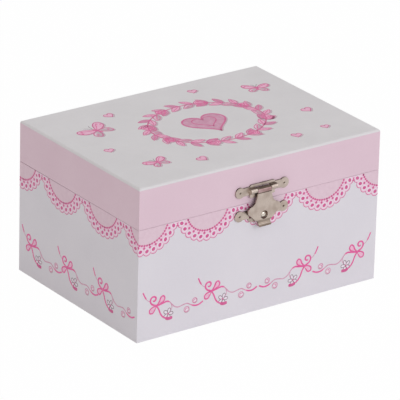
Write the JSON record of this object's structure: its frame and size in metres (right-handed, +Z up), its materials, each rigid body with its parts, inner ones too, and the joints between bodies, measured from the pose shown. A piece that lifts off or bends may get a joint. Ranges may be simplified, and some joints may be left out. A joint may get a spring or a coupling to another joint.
{
  "type": "ballerina jewellery box",
  "caption": "Papered jewellery box with a hinged lid and clasp; a wind-up musical movement turns a dancer who folds down as the lid shuts.",
  "frame": {"origin": "centre of the underside of the box", "axes": "+Z up, -Y the front with the clasp, +Y the back with the hinges and the key, +X to the right seen from the front"},
  "size_m": [0.152, 0.1298, 0.0847],
  "materials": {
    "board": "plain fibreboard",
    "print_paper": "white coated paper with pink print",
    "pink_paper": "pale pink coated paper",
    "flock": "pink flock",
    "felt": "pale pink felt",
    "mirror_glass": "silvered glass",
    "nickel": "bright nickel plate",
    "steel": "plain steel",
    "cast_zinc": "gilt zinc casting",
    "brass": "satin brass",
    "doll": "moulded plastic, painted",
    "tulle": "pink tulle"
  },
  "bodies": {
    "case": {"front_board": "board", "back_board": "board", "left_board": "board", "right_board": "board", "floor_board": "board", "base_felt": "felt", "case_paper": "print_paper", "case_lining": "flock", "deck_board": "board", "deck_riser": "board", "deck_cleats": "board", "deck_lining": "flock", "divider": "flock", "ring_rolls": "flock", "case_leaf_left": "nickel", "case_leaf_right": "nickel", "hinge_pins": "steel", "case_nails": "nickel", "case_clasp_plate": "nickel", "clasp_stud": "nickel", "bedplate": "cast_zinc", "movement_screws": "steel", "spring_barrel": "brass", "mainspring": "steel", "key_escutcheon": "nickel", "comb": "steel", "machine_screws": "steel", "governor_bracket": "steel", "stop_spring": "steel"},
    "lid": {"lid_top_board": "board", "lid_front_rail": "board", "lid_back_rail": "board", "lid_left_rail": "board", "lid_right_rail": "board", "lid_side_paper": "pink_paper", "lid_top_paper": "print_paper", "lid_lining": "flock", "mirror": "mirror_glass", "lid_leaf_left": "nickel", "lid_leaf_right": "nickel", "lid_nails": "nickel", "lid_clasp_plate": "nickel", "clasp_pin": "steel"},
    "hasp": {"hasp": "nickel"},
    "winding": {"winding_arbor": "steel", "great_wheel": "brass", "winding_key": "nickel"},
    "cylinder": {"cylinder": "brass", "cylinder_arbor": "steel", "cylinder_gear": "brass", "drive_cup": "nickel"},
    "governor": {"governor_arbor": "steel", "governor_wheel": "brass"},
    "fly": {"governor_worm": "steel", "fly": "brass"},
    "stop_rod": {"stop_rod": "steel"},
    "dancer_tilt": {"dancer_spring": "steel"},
    "dancer": {"dancer_figure": "doll", "dancer_tutu": "tulle"}
  },
  "joints": [
    {"name": "lid_hinge", "type": "hinge", "parent": "case", "child": "lid", "pos_m": [0, 0.0562, 0.06195], "axis": [-1, 0, 0], "range_deg": [0, 98]},
    {"name": "hasp_swing", "type": "hinge", "parent": "lid", "child": "hasp", "pos_m": [0, -0.0561, 0.0688], "axis": [-1, 0, 0], "range_deg": [0, 120]},
    {"name": "key_turn", "type": "hinge", "parent": "case", "child": "winding", "pos_m": [0, 0.06, 0.016], "axis": [0, 1, 0], "continuous": true},
    {"name": "cylinder_spin", "type": "hinge", "parent": "case", "child": "cylinder", "pos_m": [0, 0.03, 0.04], "axis": [0, 0, 1], "continuous": true},
    {"name": "governor_spin", "type": "hinge", "parent": "case", "child": "governor", "pos_m": [0.0108, 0.03, 0.04], "axis": [0, 0, 1], "continuous": true},
    {"name": "fly_spin", "type": "hinge", "parent": "case", "child": "fly", "pos_m": [0.0166, 0.03, 0.0382], "axis": [0, 1, 0], "continuous": true},
    {"name": "stop_slide", "type": "slide", "parent": "case", "child": "stop_rod", "axis": [0, 0, 1], "range_m": [0, 0.0042], "deforming": ["stop_spring"]},
    {"name": "dancer_fold", "type": "hinge", "parent": "case", "child": "dancer_tilt", "pos_m": [0, 0.03, 0.06], "axis": [-1, 0, 0], "range_deg": [0, 82.2], "deforming": ["dancer_spring"]},
    {"name": "dancer_spin", "type": "hinge", "parent": "dancer_tilt", "child": "dancer", "pos_m": [0, 0.03, 0.06], "axis": [0, -0.9903, 0.1392], "continuous": true}
  ],
  "couplings": [
    {"joint": "cylinder_spin", "follows": "key_turn", "ratio": -2},
    {"joint": "governor_spin", "follows": "key_turn", "ratio": 10},
    {"joint": "fly_spin", "follows": "key_turn", "ratio": -120},
    {"joint": "dancer_spin", "follows": "key_turn", "ratio": -2},
    {"joint": "dancer_fold", "follows": "lid_hinge", "ratio": 0.83674},
    {"joint": "stop_slide", "follows": "lid_hinge", "m_per_rad": 0.00234}
  ]
}
